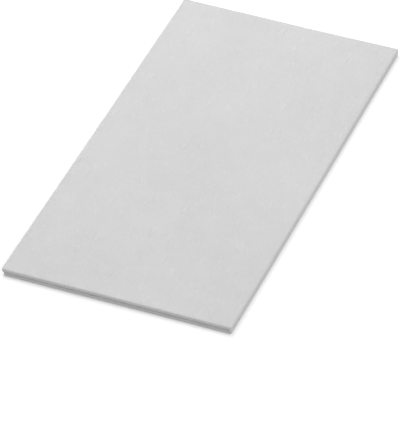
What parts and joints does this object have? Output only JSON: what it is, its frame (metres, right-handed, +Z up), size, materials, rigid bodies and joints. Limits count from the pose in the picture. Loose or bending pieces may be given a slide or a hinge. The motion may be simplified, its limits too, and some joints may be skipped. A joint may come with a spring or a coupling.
{
  "type": "paper napkin",
  "caption": "Square white paper napkin folded three times into a flat oblong, with a spine, a cross-fold and open cut edges.",
  "frame": {"origin": "middle of the underside of the folded napkin, on the surface it lies on", "axes": "+Z up, through the layers; +Y along the long side, from the cross-fold at the front to the cut edges at the back; +X across, from the creases to the spine"},
  "size_m": [0.1002, 0.2004, 0.0035],
  "materials": {
    "napkin_paper": "matte, soft unprinted tissue"
  },
  "bodies": {
    "root": {"napkin": "napkin_paper"}
  },
  "joints": []
}
